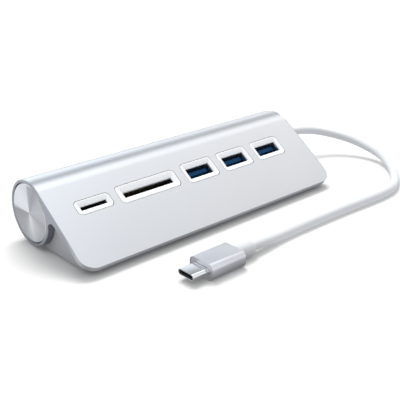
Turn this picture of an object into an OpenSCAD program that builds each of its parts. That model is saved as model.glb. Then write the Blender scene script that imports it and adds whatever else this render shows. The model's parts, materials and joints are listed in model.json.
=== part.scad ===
// Desktop USB hub with card slots: a drum-and-plate extrusion, its ports, its board and its captive cable.
// Row frame: origin at the middle of the footprint on the desk, +X along the hub, +Y to the back, +Z up.
// Sloped frame: s runs up the plate from its front lip, n stands out of the plate's face.

/* [Housing] */
// Length of the extrusion
hub_length = 136; // [132:1:180]
// Slope of the plate above the desk, degrees
plate_slope = 35.2; // [33:0.1:38]
// Distance up the plate from its lip to the drum's crest
plate_run = 36.8; // [30.4:0.1:38]
// Thickness of the plate
plate_t = 2.7; // [2.2:0.1:3.4]
// Outer radius of the drum
drum_r = 13.4; // [12.8:0.1:17]
// Wall of the drum
drum_wall = 1.2; // [0.9:0.1:1.8]
// Radius of the plate's front corners
plate_corner_r = 6.2; // [3:0.1:8]
// Radius of the web between drum and plate
web_r = 3; // [1.5:0.1:4]
// Chamfer on the housing's edges
edge_chamfer = 0.35; // [0.15:0.05:0.6]

/* [Ports] */
// Distance of the row of ports from the lip
port_row = 25.2; // [24:0.1:25.6]
// Centre of the microSD slot from mid length
microsd_x = -49.5; // [-50:0.5:-48]
// Centre of the SD slot from mid length
sd_x = -23.1; // [-25:0.1:-22]
// Centre of the first USB port from mid length
usb_x = 4.4; // [3:0.1:5]
// Pitch of the USB ports
usb_pitch = 20.6; // [19.5:0.1:21]
// Number of USB ports
usb_count = 3; // [3]
// USB bezel, width and height
usb_bezel = [16.8, 9.8];
// SD bezel, width and height
sd_bezel_size = [29.8, 8.1];
// microSD bezel, width and height
microsd_bezel_size = [16, 6.2];
// USB opening, width and height
usb_mouth = [12.8, 5.1];
// SD opening, width and height
sd_mouth = [24.6, 2.6];
// microSD opening, width and height
microsd_mouth = [11.9, 1.75];
// Corner radius of the bezels
bezel_r = 1.8; // [1:0.1:2.4]
// Depth of the dished face of a bezel
bezel_dish = 0.55; // [0.2:0.05:0.9]
// Gap round a bezel in its window
bezel_gap = 0.22; // [0.05:0.01:0.25]

/* [Ends] */
// Thickness of a spun end disc
disc_t = 1.6; // [1:0.1:2.5]
// Depth of a disc's face inside the drum's rim
disc_recess = 0.15; // [0:0.05:0.6]
// Gap between a disc and the drum's bore
disc_gap = 0.2; // [0.1:0.05:0.5]
// Chamfer round a disc
disc_chamfer = 0.45; // [0.2:0.05:0.8]

/* [Base] */
// Inset of the base's side faces from the extrusion's ends
base_inset = 3; // [1.5:0.1:6]
// Inset of the base's front face from the lip
base_front_inset = 4.5; // [3:0.1:7]
// Wall of the base
base_wall = 1.6; // [1.2:0.1:2.2]
// Height of the rubber feet
foot_h = 0.8; // [0.5:0.1:1.5]
// Width of the rubber feet
foot_w = 5; // [4:0.5:6]
// Length of the rubber feet
foot_l = 110; // [90:1:120]

/* [Board] */
// Thickness of the main board
board_t = 1.6; // [1:0.1:2]
// Reach of the board below the plate's face
board_reach = 15.8; // [15.4:0.1:16]

/* [Cable] */
// Diameter of the cable
cable_d = 4; // [3.5:0.1:4.4]
// Length of the grommet outside the end disc
grommet_l = 7; // [5:0.5:9]
// Plug sleeve: length, width, height
sleeve = [16.8, 12.5, 6.6];
// Corner radius of the sleeve
sleeve_r = 2.4; // [1.5:0.1:3]
// Wall of the sleeve
sleeve_wall = 0.9; // [0.7:0.1:1.2]
// Length of the collar behind the sleeve
collar_l = 9; // [6:0.5:12]
// Diameter of the collar
collar_d = 6.2; // [5:0.1:6.4]

/* [Hidden] */
$fn = 64;
eps = 0.01;                      // a cut's overshoot
lap = 0.03;                      // a straight chamfer's run into the next arc
hull_fn = 32;                    // facets of a hull's corners
web_steps = 10;                  // flats along the web's hollow
seat_gap = 0.05;                 // between faces that seat on each other
slip_gap = 0.1;                  // between a part and the pocket it drops into
over = 1;                        // a cutter's reach past what it cuts through

// The housing's derived places
slope_sin = sin(plate_slope);
slope_cos = cos(plate_slope);
lip_to_back = plate_run*slope_cos + drum_r*(1 + slope_sin);
lip_y = -(lip_to_back + edge_chamfer*slope_sin)/2;
drum_y = lip_y + plate_run*slope_cos + drum_r*slope_sin;
drum_z = foot_h + drum_r;
lip_z = drum_z + drum_r*slope_cos - plate_run*slope_sin;
bore_r = drum_r - drum_wall;
half_l = hub_length/2;
web_n = -plate_t - web_r;
web_s = plate_run - sqrt(pow(drum_r + web_r, 2) - pow(drum_r + web_n, 2));
web_angle = atan2(web_n + drum_r, web_s - plate_run);
rim_stop = 2;                    // degrees by which the rim's chamfer stops short of the web

// Ends
disc_r = bore_r - disc_gap;
disc_face_x = half_l - disc_recess;
disc_back_x = disc_face_x - disc_t;
plug_flange_t = 2;
plug_skirt_l = 3;
plug_skirt_wall = 1.2;
plug_back_x = disc_back_x - seat_gap - plug_flange_t - plug_skirt_l;
plug_r = bore_r - slip_gap;
spigot_r = 3;
spigot_l = 1.2;

// The stack below the plate: bezel flange, carrier, board
flange_t = 1;
flange_lap = 1;
flange_n = -plate_t - seat_gap;
carrier_t = 1.4;
carrier_n = flange_n - flange_t - seat_gap;
carrier_back_n = carrier_n - carrier_t;
nose_n = -bezel_dish - 0.6;      // front ends of the receptacles, inside the bezels
nose_r = 0.15;                   // corners of the pockets round the receptacles
mouth_r = 0.2;                   // corners of the bezels' openings
usb_s = port_row - 0.2;
sd_s = port_row - 0.5;
microsd_s = port_row - 0.2;
shell_t = 0.3;
usb_shell = [13.1, 5.7];
usb_depth = 14;
board_s = usb_s - usb_shell[1]/2 - seat_gap;     // face that the receptacles stand on
board_edge_n = carrier_back_n - 2*slip_gap;
end_land = 7;                    // solid plate left at each end, past the pocket
board_half = min(half_l - end_land - 0.7, 60.3);
leg_w = 3.4;
leg_x = board_half - leg_w;
leg_mid_x = board_half - leg_w/2;
pocket_half = half_l - end_land;
pocket_s = board_s - board_t - 0.6;
pocket_depth = 20;
pocket_end_s = 33;
carrier_s = 8;
carrier_end_s = 29.5;

// Base and screws
base_half = half_l - base_inset;
base_y = lip_y + base_front_inset;
base_rear_inset = 3.8;           // from the drum's axis to the back of the base
base_rear_y = drum_y - base_rear_inset;
base_corner_r = max(plate_corner_r - base_inset, 1);
front_foot_y = -12;
rear_foot_y = 5;
screw_r = 0.95;
screw_hole_r = screw_r + seat_gap;
head_r = 1.9;
head_h = 1;
cross_w = 0.4;                   // a screw head's cross
cross_depth = 0.5;
base_screw_x = [-48, -16, 16, 48];
post_r = 2.4;
post_z = foot_h + base_wall + seat_gap;
base_screw_reach = 5.6;
base_screw_top = foot_h + base_screw_reach;
board_screw_n = (board_edge_n - board_reach)/2;
board_screw_grip = 3.5;          // length of a board screw in its leg
board_head_r = 1.5;
leg_hole_depth = 5;

// Cable and plug
exit_x = disc_face_x + grommet_l + slip_gap;
plug_y = -49.6;
plug_z = sleeve[2]/2;
sleeve_x = -34.8;                // front face of the sleeve
collar_x = sleeve_x + sleeve[0];
tube_size = [8.3, 2.5];
tube_wall = 0.3;
tube_tip_x = sleeve_x - 7.3;
tube_back_x = sleeve_x + 4.5;
plug_board_l = 6;
plug_board_w = 8.4;
plug_board_t = 0.8;
route = [
    [exit_x, drum_y, drum_z], [80, drum_y, drum_z], [86.6, 11.7, 13.6], [92.8, 10.3, 12.7], [98.5, 7.5, 11.5],
    [103.2, 3.4, 10.1], [107, -2, 8.7], [109.4, -8, 7.2], [110.3, -14.4, 5.7], [109.7, -21, 4.5],
    [107.4, -27, 3.5], [103.6, -32.6, 2.9], [99.2, -37.6, 2.4], [94, -42, 2.1], [88, -46, 2],
    [81.2, -48.8, 2], [73, -49.7, 2], [64, -49.5, 2], [55, -49.1, 2], [45, -48.7, 2], [36, -48.5, 2],
    [27, -48.4, 2], [18, -48.4, 2], [10, -48.6, 2.1], [3, -49, 2.5], [-3, -49.4, 3.1],
    [collar_x + collar_l + 2.5, plug_y, plug_z], [collar_x + collar_l, plug_y, plug_z],
];

// ---- shared shapes ----

// Puts (x, s, n) drawn at the lip into the row frame
module sloped() {
    translate([0, lip_y, lip_z]) rotate([plate_slope, 0, 0]) children();
}

// Extrudes a profile drawn as (s, n) or (y, z) along X, centred
module along_x(length) {
    rotate([90, 0, 90]) linear_extrude(height = length, center = true) children();
}

// A solid of revolution or cylinder drawn along +Z, laid along +X from x0
module laid_x(x0) {
    translate([x0, 0, 0]) rotate([0, 90, 0]) children();
}

// A block given by its three ranges
module block(x, y, z) {
    translate([x[0], y[0], z[0]]) cube([x[1] - x[0], y[1] - y[0], z[1] - z[0]]);
}

module rounded(size, r) {
    square([size[0] - 2*r, size[1]], center = true);
    square([size[0], size[1] - 2*r], center = true);
    for (x = [-1, 1], y = [-1, 1])
        translate([x*(size[0]/2 - r), y*(size[1]/2 - r)]) circle(r);
}

// A rounded prism between two depths below the plate's face, at (x, s)
module port_prism(x, s, size, r, low, high) {
    translate([x, s, low]) linear_extrude(height = high - low) rounded(size, r);
}

// A square on its corner, which cuts a chamfer of c from the edge it is centred on
module chamfer_cut(c) {
    rotate(45) square(c*sqrt(2), center = true);
}

// ---- housing ----

// Web that fills the corner between drum and plate: a hollow arc closed inside the plate and the drum
module web(gap) {
    sweep = 270 - web_angle;
    arc = [for (i = [0:web_steps]) let (a = 90 - sweep*i/web_steps)
        [web_s, web_n] + (web_r - gap)*[cos(a), sin(a)]];
    polygon(concat([[web_s, -plate_t/2]], arc, [[plate_run, -drum_r], [plate_run, -plate_t/2]]));
}

module housing_profile() {
    difference() {
        union() {
            translate([plate_run, -drum_r]) circle(drum_r, $fn = 128);
            translate([0, -plate_t]) square([plate_run, plate_t]);
            web(0);
        }
        translate([plate_run, -drum_r]) circle(bore_r, $fn = 128);
    }
}

// Front corner of the plate, to be cut away, on the side given by sign
module corner_cut(side) {
    r = plate_corner_r;
    difference() {
        translate([side > 0 ? half_l - r : -half_l - over, -over, -plate_t - over])
            cube([r + over, r + over, plate_t + 2*over]);
        translate([side*(half_l - r), r, -plate_t - 2*over]) cylinder(r = r, h = plate_t + 4*over);
    }
}

// Chamfers along the plate's upper front and side edges and round its corners
module plate_chamfers() {
    r = plate_corner_r;
    along_x(hub_length - 2*r + 2*lap) chamfer_cut(edge_chamfer);
    for (side = [-1, 1]) {
        translate([side*half_l, plate_run + lap, 0]) rotate([90, 0, 0])
            linear_extrude(height = plate_run - r + 2*lap) chamfer_cut(edge_chamfer);
        translate([side*(half_l - r), r, 0]) rotate([0, 0, side > 0 ? -90 : 180])
            rotate_extrude(angle = 90) translate([r, 0]) chamfer_cut(edge_chamfer);
    }
}

// Chamfers round the drum's two rims, from the crest round the back to where the web starts
module drum_chamfers() {
    for (side = [-1, 1])
        translate([side*half_l, plate_run, -drum_r]) rotate([90, 0, 90]) rotate([0, 0, web_angle + rim_stop])
            rotate_extrude(angle = 360 + 90 - web_angle - rim_stop, $fn = 128)
                translate([drum_r, 0]) chamfer_cut(edge_chamfer);
}

module bezel_window(x, s, size) {
    port_prism(x, s, size + [2*bezel_gap, 2*bezel_gap], bezel_r + bezel_gap, -plate_t - over, over);
}

module housing() {
    color("gainsboro") sloped() difference() {
        along_x(hub_length) housing_profile();
        for (side = [-1, 1]) corner_cut(side);
        plate_chamfers();
        drum_chamfers();
        bezel_window(microsd_x, port_row, microsd_bezel_size);
        bezel_window(sd_x, port_row, sd_bezel_size);
        for (i = [0:usb_count - 1]) bezel_window(usb_x + i*usb_pitch, port_row, usb_bezel);
        block([-pocket_half, pocket_half], [pocket_s, pocket_end_s], [-pocket_depth, -plate_t]);
    }
}

// ---- ends ----

// Disc drawn along +Z with its face up, its outer edge chamfered
module disc_profile(hole) {
    c = disc_chamfer;
    polygon([[hole, 0], [disc_r, 0], [disc_r, disc_t - c], [disc_r - c, disc_t], [hole, disc_t]]);
}

module end_disc_left() {
    color("silver") translate([-disc_back_x, drum_y, drum_z]) rotate([0, -90, 0]) {
        rotate_extrude($fn = 128) disc_profile(0);
        translate([0, 0, -spigot_l]) cylinder(r = spigot_r, h = spigot_l + eps);
    }
}

neck_r = 2.9;
neck_hole_r = neck_r + seat_gap;

module end_disc_right() {
    color("silver") translate([disc_back_x, drum_y, drum_z]) rotate([0, 90, 0])
        rotate_extrude($fn = 128) disc_profile(neck_hole_r);
}

// Plastic cup pressed into the drum behind a disc, drawn along +Z with its flange up
module end_cup(hole) {
    difference() {
        cylinder(r = plug_r, h = plug_skirt_l + plug_flange_t, $fn = 128);
        translate([0, 0, -over]) cylinder(r = plug_r - plug_skirt_wall, h = plug_skirt_l + over, $fn = 128);
        translate([0, 0, -over]) cylinder(r = hole, h = plug_skirt_l + plug_flange_t + 2*over);
    }
}

module end_plug_left() {
    color("whitesmoke") translate([-plug_back_x, drum_y, drum_z]) rotate([0, -90, 0])
        end_cup(spigot_r + seat_gap);
}

clamp_x = plug_back_x - 5;       // middle of the cable clamp
clamp_w = 4;
clamp_half_y = 4.4;
clamp_top = 3.4;                 // above the drum's axis
cradle_low = -5;
clamp_split = 0.15;              // half the gap between cradle and clamp
stub_x = clamp_x - clamp_w;      // cut end of the cable
stub_hole_r = cable_d/2 + seat_gap;
clamp_screw_y = 3.2;
clamp_screw_r = 0.7;
clamp_screw_l = 6.6;
clamp_head_r = 1.15;

module end_plug_right() {
    color("whitesmoke") translate([0, drum_y, drum_z]) difference() {
        union() {
            laid_x(plug_back_x) end_cup(neck_hole_r);
            block([clamp_x - clamp_w/2, plug_back_x + plug_skirt_l + eps], [-clamp_half_y, clamp_half_y],
                [cradle_low, -clamp_split]);
        }
        laid_x(stub_x) cylinder(r = stub_hole_r, h = plug_back_x + plug_skirt_l - stub_x);
        laid_x(plug_back_x + 1) cylinder(r = grommet_flange_r + slip_gap, h = plug_skirt_l - 1 + 2*eps);
        for (y = [-1, 1]) translate([clamp_x, y*clamp_screw_y, cradle_low + 1])
            cylinder(r = clamp_screw_r + seat_gap, h = -cradle_low);
    }
}

// ---- base ----

// Outline of everything that the base has to stay under, drawn as (y, z)
module over_base(gap) {
    translate([lip_y, lip_z]) rotate(plate_slope) {
        translate([plate_run, -drum_r]) circle(drum_r + gap, $fn = 128);
        translate([-plate_run, -plate_t - gap]) square([2*plate_run + 2*drum_r, 2*plate_run]);
        web(gap);
    }
}

module wedge_profile(front, floor) {
    difference() {
        translate([front, floor]) square([base_rear_y - front, 3*drum_r]);
        over_base(slip_gap);
    }
}

module base_corner_cut(side) {
    r = base_corner_r;
    difference() {
        translate([side > 0 ? base_half - r : -base_half - over, base_y - over, 0])
            cube([r + over, r + over, drum_z]);
        translate([side*(base_half - r), base_y + r, -over]) cylinder(r = r, h = drum_z + 2*over);
    }
}

module base_cover() {
    color("lightgray") difference() {
        along_x(2*base_half) wedge_profile(base_y, foot_h);
        block([base_wall - base_half, base_half - base_wall], [base_y + base_wall, base_rear_y + 1],
            [foot_h + base_wall, 3*drum_r]);
        for (side = [-1, 1]) base_corner_cut(side);
        for (x = base_screw_x) translate([x, front_foot_y, foot_h]) {
            translate([0, 0, -over]) cylinder(r = head_r + seat_gap, h = head_h + over + seat_gap);
            cylinder(r = screw_hole_r, h = base_wall + over);
        }
    }
}

module foot(y) {
    color("dimgray") translate([0, y, 0]) linear_extrude(height = foot_h - eps)
        rounded([foot_l, foot_w], foot_w/2 - 0.2);
}

module front_foot() { foot(front_foot_y); }
module rear_foot() { foot(rear_foot_y); }

// A pan-head screw drawn with its head's top at z = 0 and its shank going up
module screw(length, head, shank) {
    arm = 0.6*head;
    difference() {
        cylinder(r = head, h = head_h);
        for (turn = [0, 90]) rotate(turn) block([-arm, arm], [-cross_w/2, cross_w/2], [-over, cross_depth]);
    }
    cylinder(r = shank, h = length);
}

module base_screws() {
    color("silver") for (x = base_screw_x) translate([x, front_foot_y, foot_h + seat_gap])
        screw(base_screw_top - foot_h - seat_gap, head_r, screw_r);
}

// ---- bezels and carrier ----

// Bezel: flush face dished down to its mouth, hollow behind for the receptacle's nose
module bezel(x, size, mouth, mouth_s, nose, nose_s) {
    rim = 0.5;
    back_n = flange_n - flange_t;
    color("white") sloped() difference() {
        union() {
            port_prism(x, port_row, size, bezel_r, back_n, 0);
            port_prism(x, port_row, size + 2*[flange_lap, flange_lap], bezel_r, back_n, flange_n);
        }
        hull() {
            port_prism(x, port_row, size - 2*[rim, rim], bezel_r - rim, 0, over, $fn = hull_fn);
            port_prism(x, mouth_s, mouth, mouth_r, -bezel_dish, 0, $fn = hull_fn);
        }
        port_prism(x, mouth_s, mouth, mouth_r, -plate_t, 0);
        port_prism(x, nose_s, nose + 2*[slip_gap, slip_gap], nose_r, back_n - over, nose_n + slip_gap);
    }
}

module usb_bezel_at(i) { bezel(usb_x + i*usb_pitch, usb_bezel, usb_mouth, usb_s, usb_shell, usb_s); }
module usb_bezel_1() { usb_bezel_at(0); }
module usb_bezel_2() { usb_bezel_at(1); }
module usb_bezel_3() { usb_bezel_at(2); }

sd_nose = [27.4, 2.9];
sd_nose_s = sd_s + 0.05;
sd_mouth_s = sd_s + 0.2;
microsd_nose = [14, 2.1];
microsd_nose_s = microsd_s;

module sd_bezel() { bezel(sd_x, sd_bezel_size, sd_mouth, sd_mouth_s, sd_nose, sd_nose_s); }
module microsd_bezel() {
    bezel(microsd_x, microsd_bezel_size, microsd_mouth, microsd_s, microsd_nose, microsd_nose_s);
}

// Window in the carrier for a receptacle's nose
module carrier_window(x, s, nose) {
    port_prism(x, s, nose + 2*[slip_gap, slip_gap], nose_r, carrier_back_n - over, carrier_n + over);
}

module port_carrier() {
    color("ivory") difference() {
        union() {
            sloped() {
                block([-board_half, board_half], [carrier_s, carrier_end_s], [carrier_back_n, carrier_n]);
                for (side = [-1, 1])
                    block(side > 0 ? [leg_x, board_half] : [-board_half, -leg_x],
                        [board_s + seat_gap, carrier_end_s - 1.5], [-board_reach + 1, carrier_n - eps]);
            }
            for (x = base_screw_x) translate([x, front_foot_y, post_z]) cylinder(r = post_r, h = drum_r);
        }
        sloped() {
            block([-half_l, half_l], [-plate_run, 2*plate_run], [carrier_n, 2*plate_run]);
            carrier_window(microsd_x, microsd_nose_s, microsd_nose);
            carrier_window(sd_x, sd_nose_s, sd_nose);
            for (i = [0:usb_count - 1]) carrier_window(usb_x + i*usb_pitch, usb_s, usb_shell);
            for (side = [-1, 1]) translate([side*leg_mid_x, board_s - over, board_screw_n])
                rotate([-90, 0, 0]) cylinder(r = screw_hole_r, h = leg_hole_depth + over);
        }
        for (x = base_screw_x) translate([x, front_foot_y, 0])
            cylinder(r = screw_hole_r, h = base_screw_top + 0.2);
    }
}

// ---- main board ----

module main_board() {
    color("darkgreen") sloped() difference() {
        block([-board_half, board_half], [board_s - board_t, board_s], [-board_reach, board_edge_n]);
        for (side = [-1, 1]) translate([side*leg_mid_x, board_s - board_t - over, board_screw_n])
            rotate([-90, 0, 0]) cylinder(r = screw_hole_r, h = board_t + 2*over);
    }
}

module board_screws() {
    color("silver") sloped() for (side = [-1, 1])
        translate([side*leg_mid_x, board_s - board_t - head_h, board_screw_n])
            rotate([-90, 0, 0]) screw(head_h + board_t + board_screw_grip, board_head_r, screw_r);
}

// A chip on the board's front side, centred at (x, n)
module chip(x, n, size) {
    sloped() block([x - size[0]/2, x + size[0]/2], [board_s - board_t - size[2], board_s - board_t],
        [n - size[1]/2, n + size[1]/2]);
}

chip_n = board_screw_n;
hub_chip_size = [7, 7, 0.9];
card_chip_size = [6, 6, 0.9];
crystal_size = [3.2, 2.5, 0.8];
capacitor_size = [1.6, 0.8, 0.7];
capacitor_x = [-36:8:44];
capacitor_n = 4.5;               // from the board's middle to each row of capacitors
reservoir_size = [2.5, 3.2, 1.8];
reservoir_dx = -6.5;             // from a port's middle to its big capacitor

module hub_chip() { color("black") chip(usb_x + usb_pitch, chip_n, hub_chip_size); }
module card_chip() { color("black") chip((sd_x + microsd_x)/2, chip_n, card_chip_size); }
module crystal_can() { color("silver") chip(usb_x + usb_pitch/2, chip_n, crystal_size); }
module capacitors() {
    color("tan") {
        for (x = capacitor_x, side = [-1, 1]) chip(x, chip_n + side*capacitor_n, capacitor_size);
        for (i = [0:usb_count - 1]) chip(usb_x + i*usb_pitch + reservoir_dx, chip_n, reservoir_size);
    }
}

// ---- USB receptacles ----

tongue_size = [11.1, 1.84];
tongue_s = usb_s + 0.68;         // middle of the tongue's thickness
tongue_n = -bezel_dish - 2.2;    // front face of the tongue
tongue_r = 0.3;
usb_back_n = nose_n - usb_depth;
usb_block_l = 4;
usb_block_n = usb_back_n + 0.8;  // back face of the insulator, inside the shell
contact_t = 0.15;
contact_slot = 0.3;
contact_s = tongue_s - tongue_size[1]/2;
contact_half = 5;                // half the width that a port's nine contacts take
shell_r = 0.6;
shell_inner_r = 0.35;
finger_x = 3;                    // windows that the spring fingers bend out through
finger_w = 1.8;
finger_n = [nose_n - 7.5, nose_n - 3];

module usb_shell_at(i) {
    x = usb_x + i*usb_pitch;
    inner = usb_shell - 2*[shell_t, shell_t];
    color("lightsteelblue") sloped() difference() {
        port_prism(x, usb_s, usb_shell, shell_r, usb_back_n, nose_n);
        port_prism(x, usb_s, inner, shell_inner_r, usb_back_n - over, nose_n + over);
        for (side = [-1, 1])
            block([x + side*finger_x - finger_w/2, x + side*finger_x + finger_w/2],
                [usb_s - usb_shell[1], usb_s + usb_shell[1]], finger_n);
        // notch for the contacts' tails
        block([x - contact_half, x + contact_half], [usb_s - usb_shell[1], usb_s - usb_shell[1]/3],
            [usb_back_n - over, usb_block_n + contact_slot]);
    }
}

module usb_shell_1() { usb_shell_at(0); }
module usb_shell_2() { usb_shell_at(1); }
module usb_shell_3() { usb_shell_at(2); }

module usb_tongue_at(i) {
    x = usb_x + i*usb_pitch;
    inner = usb_shell - 2*[shell_t + seat_gap, shell_t + seat_gap];
    color("royalblue") sloped() difference() {
        union() {
            port_prism(x, usb_s, inner, tongue_r, usb_block_n, usb_back_n + usb_block_l);
            port_prism(x, tongue_s, tongue_size, tongue_r, usb_back_n + usb_block_l - eps, tongue_n);
        }
        block([x - contact_half, x + contact_half], [contact_s - contact_slot, contact_s + eps],
            [usb_back_n, usb_back_n + usb_block_l + eps]);
        block([x - contact_half, x + contact_half], [usb_s - usb_shell[1], contact_s],
            [usb_back_n, usb_block_n + contact_slot]);
    }
}

module usb_tongue_1() { usb_tongue_at(0); }
module usb_tongue_2() { usb_tongue_at(1); }
module usb_tongue_3() { usb_tongue_at(2); }

// One contact: a strip under the tongue and a tail down to the board
module usb_contact(x, w, front) {
    tail_n = usb_block_n + seat_gap;
    s_low = contact_s - contact_t - seat_gap;
    block([x - w/2, x + w/2], [s_low, s_low + contact_t], [tail_n, front]);
    block([x - w/2, x + w/2], [board_s, s_low + eps], [tail_n, tail_n + contact_t]);
}

power_dx = [-3.5, -1.1, 1.1, 3.5];               // the four wide contacts in front
fast_dx = [-4.4, -2.3, 0, 2.3, 4.4];             // the five narrow ones behind them

module usb_contacts_at(i) {
    x = usb_x + i*usb_pitch;
    color("gold") sloped() {
        for (dx = power_dx) usb_contact(x + dx, 0.7, tongue_n - 1.8);
        for (dx = fast_dx) usb_contact(x + dx, 0.4, tongue_n - 5);
    }
}

module usb_contacts_1() { usb_contacts_at(0); }
module usb_contacts_2() { usb_contacts_at(1); }
module usb_contacts_3() { usb_contacts_at(2); }

// ---- SD socket ----

cover_t = 0.2;
tail_reach = 0.3;                // of a card contact's tail behind its insulator
card_contact_n = nose_n - 5.2;   // front of a card contact
sd_back_n = -17;
sd_top_s = sd_nose_s + sd_nose[1]/2;
sd_low_s = sd_nose_s - sd_nose[1]/2;
block_front_n = carrier_back_n - 2*slip_gap;     // behind this the bodies may be wider than their noses
sd_cavity = [24.3, 2.2];
sd_cavity_back_n = sd_back_n + 1.4;

module sd_cover() {
    color("lightsteelblue") sloped() difference() {
        block([sd_x - sd_nose[0]/2, sd_x + sd_nose[0]/2], [sd_low_s, sd_top_s], [sd_back_n + 0.6, nose_n]);
        block([sd_x - sd_nose[0]/2 + cover_t, sd_x + sd_nose[0]/2 - cover_t],
            [sd_low_s - over, sd_top_s - cover_t], [sd_back_n, nose_n + over]);
    }
}

// Insulator with the card's cavity, open at its front and top
module sd_body() {
    half = sd_nose[0]/2 - cover_t - seat_gap;
    color("#222222") sloped() difference() {
        union() {
            block([sd_x - half, sd_x + half], [sd_low_s, sd_top_s - cover_t - seat_gap], [sd_back_n, nose_n]);
            block([sd_x - half, sd_x + half], [board_s + seat_gap, sd_low_s + eps],
                [sd_back_n, block_front_n]);
        }
        block([sd_x - sd_cavity[0]/2, sd_x + sd_cavity[0]/2], [sd_s - sd_cavity[1]/2, sd_top_s + over],
            [sd_cavity_back_n, nose_n + over]);
        for (i = [0:sd_contacts_n - 1]) sd_contact_slot(i);
    }
}

sd_contacts_n = 9;
sd_contact_w = 1;
sd_bump = [0.8, 0.4];            // height and width of the ridge that meets the card
function sd_contact_x(i) = sd_x + 2.5*(i - 4);
sd_contact_s = sd_s - sd_cavity[1]/2 - contact_slot;

module sd_contact_slot(i) {
    g = slip_gap;
    x = sd_contact_x(i);
    block([x - sd_contact_w/2 - g, x + sd_contact_w/2 + g], [sd_contact_s, sd_s],
        [sd_back_n - over, card_contact_n + 2*slip_gap]);
}

module sd_contacts() {
    color("gold") sloped() for (i = [0:sd_contacts_n - 1]) {
        x = sd_contact_x(i);
        w = sd_contact_w/2;
        s0 = sd_contact_s + seat_gap;
        back = sd_back_n - tail_reach;
        ridge_n = card_contact_n - 0.8;
        block([x - w, x + w], [s0, s0 + contact_t], [back, card_contact_n]);
        block([x - w, x + w], [s0, s0 + sd_bump[0]], [ridge_n - sd_bump[1], ridge_n]);
        block([x - w, x + w], [board_s, s0 + eps], [back, back + contact_t]);
    }
}

// ---- microSD socket with its ejector ----

microsd_back_n = -17;
microsd_low_s = microsd_nose_s - microsd_nose[1]/2;
microsd_top_s = microsd_nose_s + microsd_nose[1]/2;
microsd_cavity = [11.2, 1.3];
microsd_cavity_back_n = microsd_back_n + 1.2;
ejector_side = 1.6;              // extra width of the socket beside the card, behind the carrier
channel_x = [microsd_x + 6, microsd_x + microsd_nose[0]/2 + ejector_side - cover_t - 0.5];
channel_front_n = block_front_n - 0.7;
ejector_gap = 0.12;              // all round the ejector in its channel
ejector_l = 4.6;
toe_l = 1.2;                     // along the card's way
toe_reach = 1;                   // into the card's cavity
ejector_n = channel_front_n - ejector_gap;       // front of the ejector at rest
spring_r = 0.55;
spring_wire_r = 0.11;
spring_turns = 6;
spring_x = (channel_x[0] + channel_x[1])/2;

module microsd_cover() {
    cover_back_n = microsd_back_n + 0.4;
    x0 = microsd_x - microsd_nose[0]/2;
    x1 = microsd_x + microsd_nose[0]/2;
    color("lightsteelblue") sloped() difference() {
        union() {
            block([x0, x1], [microsd_low_s, microsd_top_s], [cover_back_n, nose_n]);
            block([x0, x1 + ejector_side], [microsd_low_s, microsd_top_s], [cover_back_n, block_front_n]);
        }
        block([x0 + cover_t, x1 - cover_t], [microsd_low_s - over, microsd_top_s - cover_t],
            [microsd_back_n, nose_n + over]);
        block([x0 + cover_t, x1 + ejector_side - cover_t], [microsd_low_s - over, microsd_top_s - cover_t],
            [microsd_back_n, block_front_n - cover_t]);
    }
}

module microsd_body() {
    g = cover_t + seat_gap;
    x0 = microsd_x - microsd_nose[0]/2 + g;
    x1 = microsd_x + microsd_nose[0]/2 - g;
    top = microsd_top_s - g;
    half = microsd_cavity[0]/2;
    low = microsd_s - microsd_cavity[1]/2;
    color("#222222") sloped() difference() {
        union() {
            block([x0, x1], [microsd_low_s, top], [microsd_back_n, nose_n]);
            block([x0, x1 + ejector_side], [board_s + seat_gap, top], [microsd_back_n, block_front_n - g]);
        }
        block([microsd_x - half, microsd_x + half], [low, microsd_top_s + over],
            [microsd_cavity_back_n, nose_n + over]);
        block(channel_x, [low, microsd_top_s + over], [microsd_cavity_back_n, channel_front_n]);
        // opening through which the ejector's toe reaches the card
        block([microsd_x + half - eps, channel_x[0] + eps], [low, microsd_top_s + over],
            [microsd_cavity_back_n, channel_front_n]);
        for (i = [0:microsd_contacts_n - 1]) microsd_contact_slot(i);
    }
}

microsd_contacts_n = 8;
microsd_contact_w = 0.6;
function microsd_contact_x(i) = microsd_x + 1.1*(i - 4);
microsd_contact_s = microsd_s - microsd_cavity[1]/2 - contact_slot;

module microsd_contact_slot(i) {
    w = microsd_contact_w/2 + slip_gap;
    x = microsd_contact_x(i);
    block([x - w, x + w], [microsd_contact_s, microsd_s],
        [microsd_back_n - over, card_contact_n + 2*slip_gap]);
}

module microsd_contacts() {
    w = microsd_contact_w/2;
    s0 = microsd_contact_s + seat_gap;
    back = microsd_back_n - tail_reach;
    color("gold") sloped() for (i = [0:microsd_contacts_n - 1]) {
        x = microsd_contact_x(i);
        block([x - w, x + w], [s0, s0 + contact_t], [back, card_contact_n]);
        block([x - w, x + w], [board_s, s0 + eps], [back, back + contact_t]);
    }
}

// Slider beside the card: a bar in the channel and a toe that the card pushes
module microsd_ejector() {
    g = ejector_gap;
    low = microsd_s - microsd_cavity[1]/2 + g;
    top = microsd_top_s - cover_t - g;
    color("#333333") sloped() {
        block([channel_x[0] + g, channel_x[1] - g], [low, top], [ejector_n - ejector_l, ejector_n]);
        block([microsd_x + microsd_cavity[0]/2 - toe_reach, channel_x[0] + g + eps], [low, top],
            [ejector_n - ejector_l, ejector_n - ejector_l + toe_l]);
    }
}

// Closed tube swept along a list of points; rings stand across the path with their tops towards up
function unit(v) = v/norm(v);
function path_tangent(p, i) = unit(p[min(i + 1, len(p) - 1)] - p[max(i - 1, 0)]);
function ring_points(p, i, r, sides, up) =
    let (t = path_tangent(p, i), across = unit(cross(t, up)), rise = cross(across, t))
    [for (k = [0:sides - 1]) let (a = 360*k/sides) p[i] + r*(cos(a)*rise + sin(a)*across)];

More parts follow.
